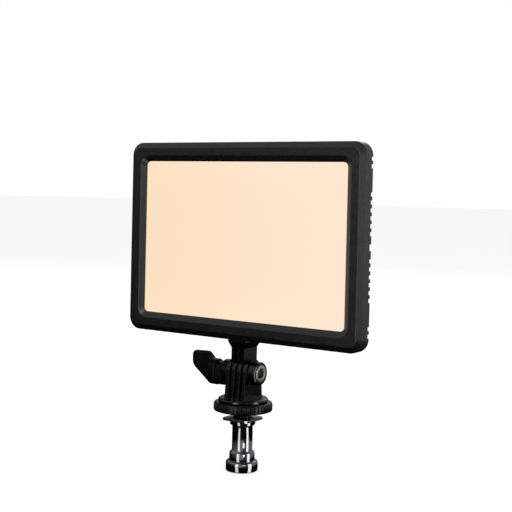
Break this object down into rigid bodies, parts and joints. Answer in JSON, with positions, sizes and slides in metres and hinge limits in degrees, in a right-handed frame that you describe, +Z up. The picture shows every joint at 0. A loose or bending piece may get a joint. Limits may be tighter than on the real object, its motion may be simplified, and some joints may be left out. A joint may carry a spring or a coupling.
{
  "type": "led panel light",
  "caption": "Flat LED panel light with a lit diffuser in a bevelled frame, rear dials and battery plate, on a lever-locked clevis tilt head with a shoe foot and stand spigot.",
  "frame": {"origin": "centre of the stand spigot's bottom face", "axes": "+Z up along the spigot and the pan axis, the light shines towards -Y, +X to the right as a person facing the lit side sees it, so the tilt lever points towards -X"},
  "size_m": [0.177, 0.041, 0.2061],
  "materials": {
    "casing_plastic": "fine textured moulded ABS, slightly glossy at the edges",
    "housing_plastic": "fine textured moulded ABS",
    "diffuser": "frosted acrylic, lit",
    "film": "clear micro-prism film",
    "light_guide": "clear acrylic with dots",
    "reflector": "white film",
    "chassis_metal": "plain sheet",
    "strip_board": "white solder mask",
    "warm_led": "amber phosphor in a white cup",
    "cool_led": "yellow phosphor in a white cup",
    "circuit_board": "green solder mask",
    "black_package": "moulded epoxy",
    "ferrite": "sintered ferrite",
    "capacitor_can": "brushed can",
    "screw_steel": "black oxide",
    "zinc_steel": "zinc plated",
    "dark_steel": "black oxide",
    "spring_steel": "drawn wire",
    "brass": "machined",
    "contact_gold": "gold plated",
    "dial_plastic": "satin, ribbed",
    "switch_plastic": "polished",
    "head_plastic": "glass-filled nylon, satin",
    "lever_plastic": "satin",
    "ring_plastic": "satin, ribbed",
    "foot_metal": "tumbled cast zinc",
    "spigot_metal": "glossy black coating on turned metal",
    "washer_nylon": "nylon",
    "wire_red": "PVC",
    "wire_white": "PVC"
  },
  "bodies": {
    "stand_adapter": {"stand_spigot": "spigot_metal", "spigot_stud": "zinc_steel"},
    "head_base": {"shoe_foot": "foot_metal", "tilt_fork": "head_plastic", "tilt_nut": "zinc_steel"},
    "ring_carrier": {"ring_washer": "washer_nylon"},
    "ring": {"lock_ring": "ring_plastic"},
    "lever": {"lever_knob": "lever_plastic", "tilt_bolt": "dark_steel", "tilt_washer": "washer_nylon"},
    "brightness_control": {"brightness_dial": "dial_plastic", "brightness_shaft": "zinc_steel"},
    "colour_control": {"colour_dial": "dial_plastic", "colour_shaft": "zinc_steel"},
    "power_switch": {"power_rocker": "switch_plastic"},
    "battery_release": {"release_button": "dial_plastic"},
    "panel": {"front_bezel": "casing_plastic", "rear_housing": "housing_plastic", "diffuser_panel": "diffuser", "prism_film": "film", "light_guide_plate": "light_guide", "reflector_sheet": "reflector", "chassis_plate": "chassis_metal", "chassis_screws": "zinc_steel", "housing_screws": "screw_steel", "led_strip_top": "strip_board", "led_strip_bottom": "strip_board", "warm_leds": "warm_led", "cool_leds": "cool_led", "control_board": "circuit_board", "board_screws": "zinc_steel", "power_inductor": "ferrite", "filter_capacitors": "capacitor_can", "control_chips": "black_package", "brightness_pot": "black_package", "colour_pot": "black_package", "switch_body": "black_package", "dc_jack": "black_package", "dc_jack_pin": "zinc_steel", "led_wires": "wire_white", "battery_wires": "wire_red", "battery_plate": "housing_plastic", "battery_plate_screws": "screw_steel", "battery_contacts": "contact_gold", "latch_spring": "spring_steel", "tilt_bracket": "head_plastic", "bracket_stud": "dark_steel", "threaded_insert": "brass"}
  },
  "joints": [
    {"name": "pan", "type": "hinge", "parent": "stand_adapter", "child": "head_base", "pos_m": [0, 0, 0.0317], "axis": [0, 0, 1], "continuous": true},
    {"name": "tilt", "type": "hinge", "parent": "head_base", "child": "panel", "pos_m": [0, 0, 0.0621], "axis": [1, 0, 0], "range_deg": [-90, 90]},
    {"name": "lever_turn", "type": "hinge", "parent": "head_base", "child": "lever", "pos_m": [0, 0, 0.0621], "axis": [1, 0, 0], "range_deg": [-180, 180]},
    {"name": "ring_travel", "type": "slide", "parent": "head_base", "child": "ring_carrier", "axis": [0, 0, 1], "range_m": [-0.0033, 0]},
    {"name": "ring_spin", "type": "hinge", "parent": "ring_carrier", "child": "ring", "pos_m": [0, 0, 0.0407], "axis": [0, 0, 1], "range_deg": [-780, 0]},
    {"name": "brightness_turn", "type": "hinge", "parent": "panel", "child": "brightness_control", "pos_m": [-0.05, 0.0178, 0.1664], "axis": [0, 1, 0], "range_deg": [-150, 150]},
    {"name": "colour_turn", "type": "hinge", "parent": "panel", "child": "colour_control", "pos_m": [-0.05, 0.0178, 0.1324], "axis": [0, 1, 0], "range_deg": [-150, 150]},
    {"name": "power_rock", "type": "hinge", "parent": "panel", "child": "power_switch", "pos_m": [0.05, 0.0116, 0.1664], "axis": [1, 0, 0], "range_deg": [0, 18]},
    {"name": "release_press", "type": "slide", "parent": "panel", "child": "battery_release", "axis": [0, -1, 0], "range_m": [0, 0.0025], "stiffness_N_per_m": 400, "springref_m": -0.0005, "deforming": ["latch_spring"]}
  ],
  "couplings": [
    {"joint": "ring_travel", "follows": "ring_spin", "m_per_rad": 0.00023873}
  ]
}
